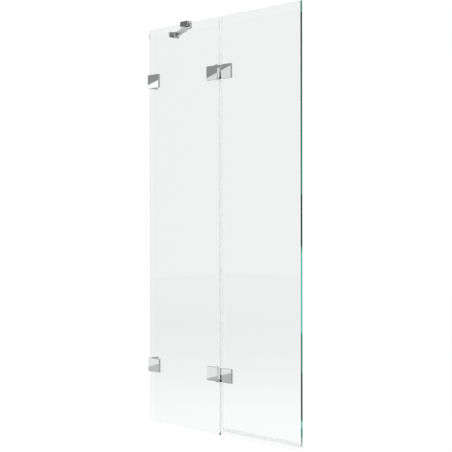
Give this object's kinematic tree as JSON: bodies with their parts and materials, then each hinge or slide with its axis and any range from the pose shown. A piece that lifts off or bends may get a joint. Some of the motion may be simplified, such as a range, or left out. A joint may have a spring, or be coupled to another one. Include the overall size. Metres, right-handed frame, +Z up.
{
  "type": "shower screen",
  "caption": "Frameless clear glass bath screen: a fixed pane clamped to the wall with a stabiliser arm, and a swinging pane on chrome glass-to-glass hinges with clear seals.",
  "frame": {"origin": "on the wall's face at the height of the bath rim, in the middle of the glass's thickness", "axes": "+X along the screen away from the wall, +Y into the bath, +Z up"},
  "size_m": [0.8, 0.1623, 1.506],
  "materials": {
    "clear_glass": "polished",
    "polished_chrome": "polished",
    "stainless_steel": "turned",
    "clear_vinyl": "extruded",
    "clear_gasket": "matt",
    "black_rubber": "matt",
    "white_nylon": "moulded"
  },
  "bodies": {
    "fixed_panel": {"fixed_glass": "clear_glass", "clamp_bolts": "stainless_steel", "clamp_sleeves": "white_nylon", "hinge_fixed_bolts": "stainless_steel", "stabiliser_glass_clamp": "polished_chrome", "stabiliser_clamp_liner": "black_rubber", "stabiliser_arm": "polished_chrome", "stabiliser_wall_plate": "polished_chrome", "stabiliser_pins": "stainless_steel", "stabiliser_grub_screws": "stainless_steel", "upper_clamp_plate": "polished_chrome", "upper_wall_bracket": "polished_chrome", "upper_clamp_front_gasket": "clear_gasket", "upper_clamp_back_gasket": "clear_gasket", "upper_hinge_fixed_leaf": "polished_chrome", "upper_hinge_fixed_gasket": "clear_gasket", "upper_hinge_pin": "stainless_steel", "lower_clamp_plate": "polished_chrome", "lower_wall_bracket": "polished_chrome", "lower_clamp_front_gasket": "clear_gasket", "lower_clamp_back_gasket": "clear_gasket", "lower_hinge_fixed_leaf": "polished_chrome", "lower_hinge_fixed_gasket": "clear_gasket", "lower_hinge_pin": "stainless_steel"},
    "door": {"door_glass": "clear_glass", "hinge_door_bolts": "stainless_steel", "side_seal_top": "clear_vinyl", "side_seal_middle": "clear_vinyl", "side_seal_bottom": "clear_vinyl", "rim_seal": "clear_vinyl", "upper_hinge_door_leaf": "polished_chrome", "upper_hinge_door_gasket": "clear_gasket", "upper_hinge_bushes": "white_nylon", "lower_hinge_door_leaf": "polished_chrome", "lower_hinge_door_gasket": "clear_gasket", "lower_hinge_bushes": "white_nylon"}
  },
  "joints": [
    {"name": "door_swing", "type": "hinge", "parent": "fixed_panel", "child": "door", "pos_m": [0.41, -0.008, 0.759], "axis": [0, 0, -1], "range_deg": [0, 110]}
  ]
}
